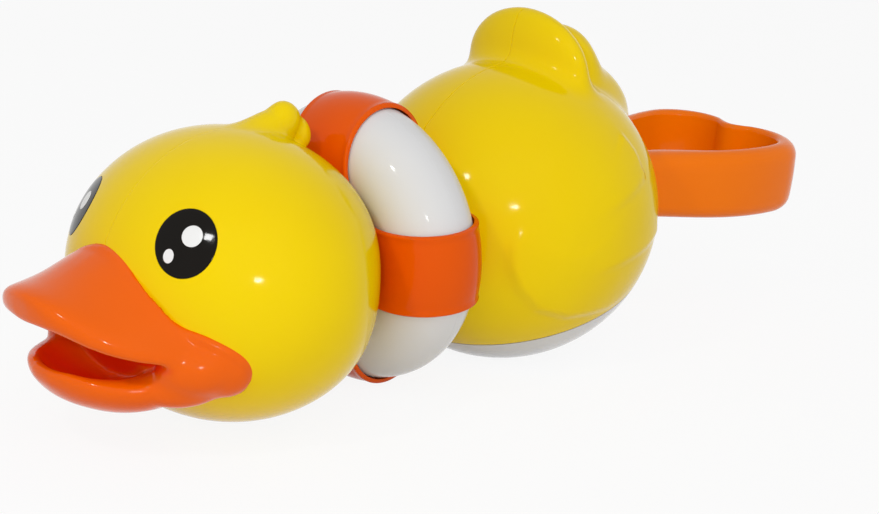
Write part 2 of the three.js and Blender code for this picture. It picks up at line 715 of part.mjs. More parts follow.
const crankAxleTop = gearHigh - crankCap - seatGap;
const reelAxle = pillar(axleRadius, 0, reelY, basePlateTop - plateThickness, lidTop, 16);
const crankAxle = pillar(axleRadius, 0, crankY, basePlateTop - plateThickness, crankAxleTop, 16);
const pivotPin = pillar(pivotPinRadius, 0, pivotY, basePlateTop - plateThickness, lidTop, 16);

// Cord bush, weight and pull ring at the tail
const bushBack = ringStart - seatGap;
const bushFront = bodyHalfLength - bushInside;
const cordBush = toSolid(barAlongY(bushRadius, 0, cordHeight, bushFront, bushBack, 20))
  .add(toSolid(barAlongY(bushRadius - seatGap, 0, cordHeight, bushFront - bushShoulder, bodyHalfLength, 20)))
  .subtract(toSolid(barAlongY(cordHoleRadius, 0, cordHeight, 0, far, 12)));

const ballastSeat = shellWall + seatGap;
const ballast = toSolid(pillar(ballastRadius, 0, ballastPlace, -bodyRadius, -bodyRadius + ballastTop, 28))
  .intersect(toSolid(bodyBall(ballastSeat)))
  .subtract(belowFlat(flatLevel + ballastSeat));

// How the ring's outline flares from its neck into the two lobes and bends into the cleft between them
const lobeOverlap = 1;
const lobeSweep = 111.6; // degrees round each lobe
const flarePull = { x: 3, y: 12 };
const sidePull = 22;
const cleftPull = 2;
const neckInsetShare = 0.9;

function ringOutline(inset, front) {
  const lobeRadius = (ringHalfWidth - inset) / 2 + lobeOverlap;
  const lobeX = ringHalfWidth - inset - lobeRadius;
  const lobeY = ringLength - lobeRadius - inset;
  const neck = ringNeckHalfWidth - inset * neckInsetShare;
  const cleft = ringLength - ringCleftDepth - inset;
  const outline = new THREE.Shape();
  outline.moveTo(-neck, front);
  outline.lineTo(neck, front);
  outline.bezierCurveTo(
    neck + flarePull.x, front + flarePull.y, lobeX + lobeRadius, lobeY - sidePull, lobeX + lobeRadius, lobeY);
  outline.absarc(lobeX, lobeY, lobeRadius, 0, lobeSweep * degrees, false);
  outline.quadraticCurveTo(cleftPull, cleft, 0, cleft);
  const cleftTurn = (180 - lobeSweep) * degrees;
  outline.quadraticCurveTo(-cleftPull, cleft,
    -lobeX + Math.cos(cleftTurn) * lobeRadius, lobeY + Math.sin(cleftTurn) * lobeRadius);
  outline.absarc(-lobeX, lobeY, lobeRadius, cleftTurn, Math.PI, false);
  outline.bezierCurveTo(
    -lobeX - lobeRadius, lobeY - sidePull, -neck - flarePull.x, front + flarePull.y, -neck, front);
  return outline;
}

function ringSlab(inset, front, height, bevel) {
  const slab = new THREE.ExtrudeGeometry(ringOutline(inset + bevel, front + bevel), {
    depth: height - bevel * 2,
    curveSegments: 7,
    bevelEnabled: bevel > 0,
    bevelThickness: bevel,
    bevelSize: bevel,
    bevelSegments: 2,
  });
  slab.translate(0, ringStart, -ringDrop - height / 2 + bevel);
  return slab;
}

const pullRing = toSolid(ringSlab(0, 0, ringWallHeight, ringEdgeRadius))
  .subtract(toSolid(ringSlab(ringWall, ringRoot, ringWallHeight * 1.5, 0)))
  .subtract(toSolid(barAlongY(cordHoleRadius, 0, cordHeight, 0, ringStart + ringRoot + ringWall, 12)));

// The whole toy, built level and then pitched onto its belly flat
const toy = new THREE.Group();
const head = new THREE.Group();
head.position.copy(headPlace);
const buoy = new THREE.Group();
buoy.position.copy(buoyPlace);
toy.add(head, buoy);

function addPiece(group, name, form, color, roughness = 0.2, metalness = 0) {
  const geometry = form.isBufferGeometry ? form : toGeometry(form);
  const mesh = new THREE.Mesh(geometry, new THREE.MeshStandardMaterial({ color, roughness, metalness }));
  mesh.name = name;
  group.add(mesh);
}

addPiece(toy, 'body_shell_left', sideHalf(bodyShell, 1), yellow);
addPiece(toy, 'body_shell_right', sideHalf(bodyShell, -1), yellow);
addPiece(toy, 'belly_shell', belly, ivory);
bellyScrews.forEach((form, index) => addPiece(toy, `belly_screw_${index + 1}`, form, steel, 0.35, 1));
addPiece(toy, 'neck_collar', collarRing, yellow);
addPiece(toy, 'gearbox_base', base, nylon, 0.5);
addPiece(toy, 'gearbox_lid', lid, nylon, 0.5);
lidScrews.forEach((form, index) => addPiece(toy, `gearbox_screw_${index + 1}`, form, steel, 0.35, 1));
addPiece(toy, 'reel', reel, nylon, 0.5);
addPiece(toy, 'crank_gear', crank, nylon, 0.5);
addPiece(toy, 'mainspring', spring, steel, 0.3, 1);
addPiece(toy, 'reel_axle', reelAxle, steel, 0.3, 1);
addPiece(toy, 'crank_axle', crankAxle, steel, 0.3, 1);
addPiece(toy, 'head_pivot_pin', pivotPin, steel, 0.3, 1);
addPiece(toy, 'neck_yoke', yoke, nylon, 0.5);
addPiece(toy, 'cord_bush', cordBush, nylon, 0.4);
addPiece(toy, 'ballast_weight', ballast, lead, 0.6, 1);
addPiece(toy, 'pull_ring', pullRing, pullOrange);
addPiece(head, 'head_shell_left', sideHalf(headShell, 1), yellow);
addPiece(head, 'head_shell_right', sideHalf(headShell, -1), yellow);
addPiece(head, 'bill', bill, orange);
addPiece(head, 'left_eye', leftEye.iris, black, 0.12);
addPiece(head, 'right_eye', rightEye.iris, black, 0.12);
leftEye.shines.forEach((form, index) => addPiece(head, `left_eye_glint_${index + 1}`, form, ivory, 0.15));
rightEye.shines.forEach((form, index) => addPiece(head, `right_eye_glint_${index + 1}`, form, ivory, 0.15));
addPiece(buoy, 'lifebuoy_ring', buoyRing, ivory);
for (let index = 0; index < bandCount; index += 1) {
  addPiece(buoy, `lifebuoy_band_${index + 1}`, buoyBand(index), bandOrange);
}

const group = new THREE.Group();
toy.rotation.x = pitch;
toy.position.set(0, -lowestY, supportHeight - bellyFlatDepth);
group.add(toy);

export default group;
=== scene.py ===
import json
import math
import bmesh
import bpy
import numpy as np
from mathutils import Matrix, Vector


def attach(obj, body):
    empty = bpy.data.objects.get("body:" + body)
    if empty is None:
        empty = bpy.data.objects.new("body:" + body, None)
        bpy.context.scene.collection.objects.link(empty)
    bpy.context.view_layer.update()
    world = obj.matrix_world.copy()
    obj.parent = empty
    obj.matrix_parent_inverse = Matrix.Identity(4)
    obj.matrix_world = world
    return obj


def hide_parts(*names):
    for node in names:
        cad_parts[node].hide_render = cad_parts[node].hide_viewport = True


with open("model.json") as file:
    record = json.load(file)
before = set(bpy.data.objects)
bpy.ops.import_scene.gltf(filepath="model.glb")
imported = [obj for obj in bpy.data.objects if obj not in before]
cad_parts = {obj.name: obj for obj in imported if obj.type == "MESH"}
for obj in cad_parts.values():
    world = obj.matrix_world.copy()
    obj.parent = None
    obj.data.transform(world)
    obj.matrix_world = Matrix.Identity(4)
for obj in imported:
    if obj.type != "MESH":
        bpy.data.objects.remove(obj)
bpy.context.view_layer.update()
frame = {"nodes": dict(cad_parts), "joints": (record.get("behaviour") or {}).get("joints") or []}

# Pieces are modelled in millimetres from the middle of the body, nose towards -Y,
# and pitched onto the table last
jointNamed = {joint["name"]: joint for joint in frame["joints"]}
pullAxis = Vector(jointNamed["ring_pull"]["axis"])
restPitch = math.atan2(pullAxis.z, pullAxis.y)
bodyMiddle = (0, 0.000642, 0.034441)
toTable = Matrix.Translation(bodyMiddle) @ Matrix.Rotation(restPitch, 4, "X") @ Matrix.Scale(0.001, 4)

headPlace = Vector((0, -84.8, 6.3))
buoyPlace = headPlace + Vector((0, 36.6, -2))
seatGap = 0.3
seamGap = 0.03  # half the gap between two shells
shellWall = 2
far = 200  # past every piece
cordDrop = 3.6  # the cord leaves the tail this far below the body's middle
seam = {"bevel": 0.16, "near": 0.002, "square": 0.99, "steepest": 0.5}  # all but the first pick the edge
blend = {"probe": 0.02, "rounds": 5, "hollowVoxel": 2.5}  # how the blended round forms are made


# Small tools

def chooseOnly(*pieces):
    bpy.ops.object.select_all(action="DESELECT")
    for piece in pieces:
        piece.select_set(True)
    bpy.context.view_layer.objects.active = pieces[0]


def settle(name):
    # Puts a new primitive's place, turn and scale into its mesh
    piece = bpy.context.object
    piece.name = name
    piece.data.name = name
    chooseOnly(piece)
    bpy.ops.object.transform_apply(location=True, rotation=True, scale=True)
    return piece


def addBall(name, place, half, turn=(0, 0, 0), across=64, down=40):
    bpy.ops.mesh.primitive_uv_sphere_add(segments=across, ring_count=down, radius=1, location=place,
                                         rotation=turn, scale=half)
    return settle(name)


def addRod(name, radius, start, end, sides=64):
    start, end = Vector(start), Vector(end)
    turn = (end - start).to_track_quat("Z", "Y").to_euler()
    bpy.ops.mesh.primitive_cylinder_add(vertices=sides, radius=radius, depth=(end - start).length,
                                        location=(start + end) / 2, rotation=turn)
    return settle(name)


def addBlock(name, low, high, turn=(0, 0, 0)):
    # turn is about the origin
    low, high = Vector(low), Vector(high)
    bpy.ops.mesh.primitive_cube_add(size=1, location=(low + high) / 2, scale=high - low)
    block = settle(name)
    block.rotation_euler = turn
    chooseOnly(block)
    bpy.ops.object.transform_apply(location=True, rotation=True, scale=True)
    return block


def addSkin(name, loops, capped=True):
    # A closed skin over loops of points that all have as many points
    count = len(loops[0])
    points = [tuple(point) for loop in loops for point in loop]
    faces = []
    last = len(loops) - 1 if capped else len(loops)
    for index in range(last):
        here, there = index * count, (index + 1) % len(loops) * count
        for step in range(count):
            after = (step + 1) % count
            faces.append((here + step, here + after, there + after, there + step))
    if capped:
        faces.append(tuple(range(count))[::-1])
        faces.append(tuple(range((len(loops) - 1) * count, len(loops) * count)))
    mesh = bpy.data.meshes.new(name)
    mesh.from_pydata(points, [], faces)
    piece = bpy.data.objects.new(name, mesh)
    bpy.context.scene.collection.objects.link(piece)
    evenNormals(piece)
    return piece


def evenNormals(piece):
    chooseOnly(piece)
    bpy.ops.object.mode_set(mode="EDIT")
    bpy.ops.mesh.select_all(action="SELECT")
    bpy.ops.mesh.normals_make_consistent(inside=False)
    bpy.ops.object.mode_set(mode="OBJECT")


def joined(first, *others):
    chooseOnly(first, *others)
    bpy.ops.object.join()
    return first


def finishWith(piece, kind, **settings):
    chooseOnly(piece)
    modifier = piece.modifiers.new(kind.title(), kind)
    for key, value in settings.items():
        setattr(modifier, key, value)
    bpy.ops.object.modifier_apply(modifier=modifier.name)
    return piece


def carve(piece, cutter, operation="DIFFERENCE"):
    finishWith(piece, "BOOLEAN", operation=operation, solver="MANIFOLD", object=cutter)
    bpy.data.objects.remove(cutter)
    return piece


def sideOf(form, side, name):
    # One half of a closed form, cut back from the middle by half the seam's gap
    shell = copied(form, name)
    low = (seamGap, -far, -far) if side > 0 else (-far, -far, -far)
    high = (far, far, far) if side > 0 else (-seamGap, far, far)
    carve(shell, addBlock("half", low, high), "INTERSECT")
    return shell


def softenSeam(shell, side, middle):
    # Rounds the outer edge of the parting line, where the cut face meets the outside
    chooseOnly(shell)
    bpy.ops.object.mode_set(mode="EDIT")
    bpy.ops.mesh.select_all(action="DESELECT")
    mesh = bmesh.from_edit_mesh(shell.data)
    for edge in mesh.edges:
        onCut = all(abs(abs(corner.co.x) - seamGap) < seam["near"] for corner in edge.verts)
        if onCut and len(edge.link_faces) == 2:
            cutFace, skin = sorted(edge.link_faces, key=lambda face: side * face.normal.x)
            away = (edge.verts[0].co + edge.verts[1].co) / 2 - middle
            outside = skin.normal.dot(away) > 0 and side * skin.normal.x > -seam["steepest"]
            edge.select = outside and side * cutFace.normal.x < -seam["square"]
    bmesh.update_edit_mesh(shell.data)
    bpy.ops.mesh.bevel(offset=seam["bevel"], segments=2, affect="EDGES", clamp_overlap=True)
    bpy.ops.object.mode_set(mode="OBJECT")


def copied(piece, name):
    twin = piece.copy()
    twin.data = piece.data.copy()
    twin.name = name
    twin.data.name = name
    bpy.context.scene.collection.objects.link(twin)
    return twin


def readPoints(piece):
    points = np.zeros(len(piece.data.vertices) * 3)
    piece.data.vertices.foreach_get("co", points)
    return points.reshape(-1, 3)


def writePoints(piece, points):
    piece.data.vertices.foreach_set("co", points.ravel())
    piece.data.update()


def smoothShade(piece, angle=35):
    chooseOnly(piece)
    bpy.ops.object.shade_smooth_by_angle(angle=math.radians(angle))
    return piece


def place(piece, body, slot, material, *nodes):
    # Sets a finished piece on the table, on its body, in place of its plain nodes
    piece.data.transform(toTable)
    piece.data.materials.clear()
    piece.data.materials.append(material)
    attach(piece, body)
    if nodes:
        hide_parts(*nodes)
    return piece


# Blended round forms: each lobe is a tilted ellipsoid, and the surface flows from one into the next

def lobeDistance(points, lobe):
    tilt = math.radians(lobe["tilt"])
    local = points - np.array(lobe["place"])
    y = local[:, 1] * math.cos(tilt) - local[:, 2] * math.sin(tilt)
    z = local[:, 1] * math.sin(tilt) + local[:, 2] * math.cos(tilt)
    local = np.stack([local[:, 0], y, z], axis=1)
    half = np.array(lobe["half"])
    inner = np.linalg.norm(local / half, axis=1)
    outer = np.maximum(np.linalg.norm(local / half ** 2, axis=1), 1e-9)
    return inner * (inner - 1) / outer


def blendedDistance(points, lobes):
    distance = lobeDistance(points, lobes[0])
    for lobe in lobes[1:]:
        other = lobeDistance(points, lobe)
        soft = lobe["soft"]
        share = np.clip(0.5 + 0.5 * (other - distance) / soft, 0, 1)
        distance = other + (distance - other) * share - soft * share * (1 - share)
    return distance


def thinner(lobes, wall):
    return [dict(lobe, half=tuple(size - wall for size in lobe["half"])) for lobe in lobes]


def blendedForm(name, lobes, voxel):
    balls = []
    for lobe in lobes:
        balls.append(addBall(name, lobe["place"], lobe["half"], (-math.radians(lobe["tilt"]), 0, 0)))
    form = joined(*balls)
    finishWith(form, "REMESH", mode="VOXEL", voxel_size=voxel)
    points = readPoints(form)
    for _ in range(blend["rounds"]):
        distance = blendedDistance(points, lobes)
        slopes = []
        for step in np.eye(3) * blend["probe"]:
            rise = blendedDistance(points + step, lobes) - blendedDistance(points - step, lobes)
            slopes.append(rise / (2 * blend["probe"]))
        slope = np.stack(slopes, axis=1)
        points = points - slope * (distance / np.maximum((slope ** 2).sum(axis=1), 1e-6))[:, None]
    writePoints(form, points)
    return form


def along(pairs, place):
    # Reads a value from a short list of (place, value) pairs, rounded off between them
    places = [pair[0] for pair in pairs]
    values = [pair[1] for pair in pairs]
    if place <= places[0]:
        return values[0]
    if place >= places[-1]:
        return values[-1]
    here = max(index for index, start in enumerate(places) if start <= place)
    before, there = max(here - 1, 0), here + 1
    after = min(here + 2, len(pairs) - 1)
    span = places[there] - places[here]
    t = (place - places[here]) / span
    slopeHere = (values[there] - values[before]) / (places[there] - places[before]) * span
    slopeThere = (values[after] - values[here]) / (places[after] - places[here]) * span
    return (values[here] * (2 * t ** 3 - 3 * t ** 2 + 1) + slopeHere * (t ** 3 - 2 * t ** 2 + t)
            + values[there] * (3 * t ** 2 - 2 * t ** 3) + slopeThere * (t ** 3 - t ** 2))


# Finishes

plasticSkin = {
    "ior": 1.5,
    "drift": {"Scale": 26, "Detail": 3}, "driftSpan": (0.3, 0.7),
    "scuffs": {"Scale": 90, "Detail": 6, "Roughness": 0.65}, "scuffSpan": (0.35, 0.75),
    "waves": {"Scale": 420, "Detail": 2}, "waveHeight": 0.0004,
}


def linear(shade):
    return tuple((c / 12.92 if c <= 0.04045 else ((c + 0.055) / 1.055) ** 2.4) for c in shade) + (1,)


def addNoise(tree, where, settings):
    noise = tree.nodes.new("ShaderNodeTexNoise")
    for key, value in settings.items():
        noise.inputs[key].default_value = value
    tree.links.new(where.outputs["Object"], noise.inputs["Vector"])
    return noise.outputs["Fac"]


def plasticFinish(name, shade, deeper, gloss=0.08, peel=0.05, scuff=0.05, shine=0.09):
    # Glossy moulded plastic: slow colour drift, faint handling scuffs in the gloss, fine moulding waves
    finish = bpy.data.materials.new(name)
    finish.use_nodes = True
    tree = finish.node_tree
    shader = tree.nodes["Principled BSDF"]
    shader.inputs["IOR"].default_value = plasticSkin["ior"]
    shader.inputs["Specular IOR Level"].default_value = shine
    where = tree.nodes.new("ShaderNodeTexCoord")
    colours = tree.nodes.new("ShaderNodeValToRGB")
    for index, colour in enumerate((deeper, shade)):
        colours.color_ramp.elements[index].position = plasticSkin["driftSpan"][index]
        colours.color_ramp.elements[index].color = linear(colour)
    tree.links.new(addNoise(tree, where, plasticSkin["drift"]), colours.inputs["Fac"])
    tree.links.new(colours.outputs["Color"], shader.inputs["Base Color"])

    roughness = tree.nodes.new("ShaderNodeMapRange")
    roughness.inputs["From Min"].default_value = plasticSkin["scuffSpan"][0]
    roughness.inputs["From Max"].default_value = plasticSkin["scuffSpan"][1]
    roughness.inputs["To Min"].default_value = gloss
    roughness.inputs["To Max"].default_value = gloss + scuff
    tree.links.new(addNoise(tree, where, plasticSkin["scuffs"]), roughness.inputs["Value"])
    tree.links.new(roughness.outputs["Result"], shader.inputs["Roughness"])

    bump = tree.nodes.new("ShaderNodeBump")
    bump.inputs["Strength"].default_value = peel
    bump.inputs["Distance"].default_value = plasticSkin["waveHeight"]
    tree.links.new(addNoise(tree, where, plasticSkin["waves"]), bump.inputs["Height"])
    tree.links.new(bump.outputs["Normal"], shader.inputs["Normal"])
    return finish


def metalFinish(name, shade, gloss):
    finish = plasticFinish(name, shade, tuple(c * 0.86 for c in shade), gloss, scuff=0.12, shine=0.5)
    finish.node_tree.nodes["Principled BSDF"].inputs["Metallic"].default_value = 1
    return finish


yellowPlastic = plasticFinish("yellow glossy shell", (0.953, 0.824, 0.006), (0.94, 0.80, 0.005))
ivoryPlastic = plasticFinish("ivory glossy shell", (0.877, 0.877, 0.880), (0.862, 0.860, 0.860))
bandPlastic = plasticFinish("deep orange band", (0.91, 0.35, 0.006), (0.89, 0.33, 0.005), 0.1)
billPlastic = plasticFinish("orange bill", (0.935, 0.39, 0.006), (0.915, 0.37, 0.005), 0.1, shine=0.15)
pullPlastic = plasticFinish("bright orange pull ring", (0.98, 0.485, 0.006), (0.965, 0.46, 0.005), 0.11,
                            shine=0.13)
eyeInk = plasticFinish("black eye ink", (0.075, 0.06, 0.045), (0.06, 0.05, 0.04), 0.05, shine=0.11)
glintInk = plasticFinish("white glint ink", (0.93, 0.93, 0.925), (0.91, 0.91, 0.9), 0.14)

# Painted shade: the bill's colour is made a deeper red in the hollow between the lips, in its middle and in the
# slot at its sides, where shade falls in the mouth
mouthPaintedShade = {
    "shade": (0.95, 0.205, 0.003),
    "hollows": (
        {"place": (0, -32.6, -6.4), "half": (13.8, 9.2, 7.2)},
        {"place": (0, -29, -5.7), "half": (21.6, 9.5, 3.3)},
    ),
    "from": 0.84,
    "to": 1.03,
}


def paintedShadeShare(tree, where, hollow):
    # 1 inside an ellipsoid of the head's hollow and 0 outside it: where the painted shade goes
    middle = toTable @ (headPlace + Vector(hollow["place"]))
    toHollow = tree.nodes.new("ShaderNodeMapping")
    toHollow.vector_type = "TEXTURE"
    toHollow.inputs["Location"].default_value = middle
    toHollow.inputs["Rotation"].default_value = (restPitch, 0, 0)
    toHollow.inputs["Scale"].default_value = [size / 1000 for size in hollow["half"]]
    tree.links.new(where.outputs["Object"], toHollow.inputs["Vector"])
    away = tree.nodes.new("ShaderNodeVectorMath")
    away.operation = "LENGTH"
    tree.links.new(toHollow.outputs["Vector"], away.inputs[0])
    share = tree.nodes.new("ShaderNodeMapRange")
    share.inputs["From Min"].default_value = mouthPaintedShade["from"]
    share.inputs["From Max"].default_value = mouthPaintedShade["to"]
    share.inputs["To Min"].default_value = 1
    share.inputs["To Max"].default_value = 0
    tree.links.new(away.outputs["Value"], share.inputs["Value"])
    return share.outputs["Result"]


def paintShadeInMouth(finish):
    # Mixes a darker red into the bill's colour as painted shade inside the mouth's hollows
    tree = finish.node_tree
    shader = tree.nodes["Principled BSDF"]
    skin = shader.inputs["Base Color"].links[0].from_socket
    where = tree.nodes.new("ShaderNodeTexCoord")
    either = tree.nodes.new("ShaderNodeMath")
    either.operation = "MAXIMUM"
    for index, hollow in enumerate(mouthPaintedShade["hollows"]):
        tree.links.new(paintedShadeShare(tree, where, hollow), either.inputs[index])
    paintedShadeMix = tree.nodes.new("ShaderNodeMixRGB")
    paintedShadeMix.inputs["Color2"].default_value = linear(mouthPaintedShade["shade"])
    tree.links.new(either.outputs["Value"], paintedShadeMix.inputs["Fac"])
    tree.links.new(skin, paintedShadeMix.inputs["Color1"])
    tree.links.new(paintedShadeMix.outputs["Color"], shader.inputs["Base Color"])


paintShadeInMouth(billPlastic)
nylonFinish = plasticFinish("nylon gear", (0.91, 0.90, 0.87), (0.88, 0.87, 0.84), 0.42)
steelFinish = metalFinish("bright steel", (0.74, 0.75, 0.77), 0.24)
weightFinish = metalFinish("cast weight", (0.44, 0.45, 0.46), 0.5)
print("finishes made")


# Body: two yellow shells with the tail and the wings

body = {
    "half": (36.2, 38.7, 36.2),
    "noseFlat": 33.5,
    "bellyLine": -19.6,
    "bellySlope": 0.2,
    "voxel": 0.8,
    "wingProud": 0.85,
    "window": 12.9,
    "windowEnd": -10,
    "bushHole": 3.7,
    "bushStart": 20,
}
bodyLobes = [
    {"place": (0, 0, 0), "half": body["half"], "tilt": 0, "soft": 0},
    {"place": (0, 7.6, 33.9), "half": (18, 6, 14.4), "tilt": -6, "soft": 4.6},
    {"place": (0, 17.4, 29.6), "half": (12.6, 8, 13.2), "tilt": 10, "soft": 1.8},
    {"place": (0, 24.5, 23.4), "half": (13.4, 18, 10.2), "tilt": 35, "soft": 4.0},
]
wing = {"sideFrom": 12, "sideOver": 8, "edgeHalf": 1.4, "fade": 9, "startEase": 0.15, "endEase": 0.3,
        "featherShare": 0.7, "featherHalf": 1.2, "featherFade": 5, "featherStart": 0.45, "featherEnd": 0.06}
# Wing lines in (Y, Z): the raised front and lower edge, and the lower edge of each feather up to its tip
wingEdge = [(-24, 9), (-27.2, 3.5), (-27.2, -2), (-25.5, -6.8), (-20.4, -12.9), (-12.6, -16.3), (1.1, -17.6),
            (12, -15.5)]
featherEdges = [
    [(-11, 6.2), (-1, 8.5), (6, 10.2), (13.2, 12.3)],
    [(-12.6, -6.6), (-1, -5.3), (10, -4.6), (20.4, -3.5)],
    [(12.2, 13.5), (11.2, 18), (8.5, 22.4)],
]


def lineSide(y, z, line):
    # Distance to a line of points, positive above it, and how far along it the nearest point lies
    best = np.full(len(y), 1e9)
    side = np.zeros(len(y))
    share = np.zeros(len(y))
    for index, (start, end) in enumerate(zip(line[:-1], line[1:])):
        dy, dz = end[0] - start[0], end[1] - start[1]
        raw = ((y - start[0]) * dy + (z - start[1]) * dz) / (dy * dy + dz * dz)
        t = np.clip(raw, 0, 1)
        gapY, gapZ = y - start[0] - dy * t, z - start[1] - dz * t
        distance = np.hypot(gapY, gapZ)
        closer = distance < best
        best = np.where(closer, distance, best)
        side = np.where(closer, np.sign(dy * gapZ - dz * gapY), side)
        share = np.where(closer, (index + t) / (len(line) - 1), share)
    return best * side, share


def smoothStep(value):
    value = np.clip(value, 0, 1)
    return value * value * (3 - 2 * value)


def wingRelief(points):
    y, z = points[:, 1], points[:, 2]
    onSide = smoothStep((np.abs(points[:, 0]) - wing["sideFrom"]) / wing["sideOver"])
    edge, share = lineSide(y, z, wingEdge)
    ends = smoothStep(share / wing["startEase"]) * smoothStep((1 - share) / wing["endEase"])
    step = smoothStep((edge + wing["edgeHalf"]) / (2 * wing["edgeHalf"]))
    height = step * np.exp(-np.maximum(edge, 0) / wing["fade"]) * ends
    for line in featherEdges:
        edge, share = lineSide(y, z, line)
        ends = smoothStep(share / wing["featherStart"]) * smoothStep((1.0 - share) / wing["featherEnd"])
        step = smoothStep((edge + wing["featherHalf"]) / (2 * wing["featherHalf"]))
        fade = np.exp(-np.maximum(edge, 0) / wing["featherFade"])
        height = height + wing["featherShare"] * step * fade * ends
    return height * onSide * body["wingProud"]


def cutAhead(form, distance):
    carve(form, addBlock("noseCut", (-far, -far, -far), (far, -distance, far)))


def belowBelly(offset):
    # All that lies below the line where the white belly starts
    slope = math.atan(body["bellySlope"])
    slab = addBlock("bellyCut", (-far, -far, -far), (far, far, 0), (slope, 0, 0))
    slab.data.transform(Matrix.Translation((0, 0, body["bellyLine"] + offset)))
    return slab


def buildBodyShells():
    form = blendedForm("bodyForm", bodyLobes, body["voxel"])
    points = readPoints(form)
    outward = points / np.array(body["half"]) ** 2
    outward /= np.linalg.norm(outward, axis=1)[:, None]
    writePoints(form, points + outward * wingRelief(points)[:, None])
    cutAhead(form, body["noseFlat"])
    hollow = blendedForm("bodyHollow", thinner(bodyLobes, shellWall), body["voxel"] * blend["hollowVoxel"])
    cutAhead(hollow, body["noseFlat"] - shellWall)
    carve(form, hollow)
    carve(form, belowBelly(0))
    carve(form, addRod("window", body["window"], (0, -far, buoyPlace.z),
                       (0, body["windowEnd"], buoyPlace.z)))
    carve(form, addRod("bushHole", body["bushHole"], (0, body["bushStart"], -cordDrop), (0, far, -cordDrop)))
    for side, name in ((1, "body_shell_left"), (-1, "body_shell_right")):
        shell = sideOf(form, side, f"yellow_{name}")
        softenSeam(shell, side, Vector((0, 0, 0)))
        smoothShade(shell)
        place(shell, "body", "yellow_shell", yellowPlastic, name)
    bpy.data.objects.remove(form)


buildBodyShells()
print("body shells made")


# White belly, flat where the toy rests

belly = {
    "flatDepth": 1.8,
    "screws": ((-9, -12), (9, -12), (-9, 18), (9, 18)),
    "counterbore": 2.2,
    "shankHole": 1.2,
    "headSeat": -26.94,
    "boss": 3,
    "bossTop": -20.5,
    "bevel": 0.2,
    "bevelAngle": 25,
}


def belowFlat(lift):
    # All that lies below the table, or below a level that much above it, in the toy's own frame
    slab = addBlock("flatCut", (-far, -far, -far), (far, far, 0))
    slab.data.transform(toTable.inverted() @ Matrix.Translation((0, 0, lift / 1000)) @ Matrix.Scale(0.001, 4))
    return slab


def buildBelly():
    shell = addBall("white_belly", (0, 0, 0), body["half"], across=160, down=110)
    carve(shell, belowBelly(-seatGap), "INTERSECT")
    inside = addBall("bellyHollow", (0, 0, 0), [size - shellWall for size in body["half"]])
    carve(inside, belowFlat(shellWall))
    skin = copied(shell, "bellySkin")
    carve(shell, inside)
    for x, y in belly["screws"]:
        boss = addRod("boss", belly["boss"], (x, y, -far), (x, y, belly["bossTop"]), 48)
        carve(boss, copied(skin, "bossRoom"), "INTERSECT")
        carve(shell, boss, "UNION")
    bpy.data.objects.remove(skin)
    carve(shell, belowFlat(0))
    for x, y in belly["screws"]:
        carve(shell, addRod("bore", belly["counterbore"], (x, y, -far), (x, y, belly["headSeat"])))
        carve(shell, addRod("shankHole", belly["shankHole"], (x, y, -far), (x, y, 0)))
    finishWith(shell, "BEVEL", width=belly["bevel"], segments=2, limit_method="ANGLE",
               angle_limit=math.radians(belly["bevelAngle"]))
    smoothShade(shell)
    return place(shell, "body", "ivory_shell", ivoryPlastic, "belly_shell")


buildBelly()
print("belly made")


# Head: two yellow shells with the tuft

head = {
    "half": (35, 30.2, 29.6),
    "voxel": 0.7,
    "narrowing": 0.08,
    "narrowFrom": 2,
    "narrowOver": 22,
    "narrowHeight": -2,
    "narrowReach": 14,
    "neckStart": 10,
}
buoy = {
    "ringRadius": 21.3, "tubeRadius": 10.2, "neckRoom": 10.7, "partingDepth": 0.05, "partingHalf": 0.008,
    "bandProud": 1.1, "bandWall": 0.65, "bandHalf": 8.7, "innerShare": 0.62,
    "lip": 0.25, "lipWidth": 0.9, "lipRound": 0.2, "lipDrop": 0.05,
}
headLobes = [
    {"place": (0, 0, 0), "half": head["half"], "tilt": 0, "soft": 0},
    {"place": (0, 11.2, 27.2), "half": (3.8, 8.6, 3.6), "tilt": -12, "soft": 2.6},
    {"place": (0, 16.6, 28.4), "half": (3.1, 3.6, 4.0), "tilt": -10, "soft": 1.4},
    {"place": (0, 20.2, 25.2), "half": (2.7, 2.6, 3.8), "tilt": -16, "soft": 0.7},
]
bill = {
    "seatGap": 0.1,
    "reach": 45.7,
    "jawReach": 43.4,
    "rootStart": 12,
    "jawLip": 2.6,
    "cheeks": (
        {"place": (20.8, -22.0, -7.4), "half": (5.8, 8.6, 5.6), "turn": 27},
        {"place": (18.2, -24.6, -11.0), "half": (4.8, 8.4, 4.2), "turn": 32},
        {"place": (22.6, -18.0, -8.2), "half": (5.2, 6.5, 5.8), "turn": 20},
    ),
    "stations": 40,
    "lipPower": 0.75,
    "droop": 1.9,
    "bowlPower": 0.45,
    "mouthHalf": (13, 10.8, 6.2),
    "mouthPlace": (0, -30.8, -6.6),
    "mouthTilt": -6,
    "palateHalf": (15, 11, 5.5),
    "palatePlace": (0, -36, -2.6),
    "padProud": 1,
    "padGrow": 0.3,
    "rootDepth": 7,
    "voxel": 0.45,
    "soften": 26,
    "lastSoften": 8,
    "rootSteps": 96,
    "plugPlaces": (-45, -30, -15, -5),
}
eye = {"azimuth": 34.7, "elevation": 31.7, "half": (6.0, 6.7), "deep": 0.7, "proud": 0.05, "room": 0.1,
       "cut": 3, "topShares": (0.25, 0.5, 0.75, 0.93, 0.985), "underShares": (0.75, 0.5, 0.25),
       "rimDrop": 0.03, "markFoot": 0.005, "markProud": 0.05, "steps": 72}
glints = ({"across": 1.1, "up": 1.3, "half": (2.0, 2.05)}, {"across": -2.9, "up": -2.7, "half": (1.05, 1.35)})
# The bill's root on the face, half an outline in (X, Z) from the forehead to the throat
rootOutline = [(0, 12.4), (6.8, 10.5), (11.2, 6.8), (16.8, 1.9), (23.4, -0.8), (27.3, -4.4), (27.6, -8.4),
               (24.8, -11.6), (18.6, -14.6), (8, -19.4), (0, -20.6)]


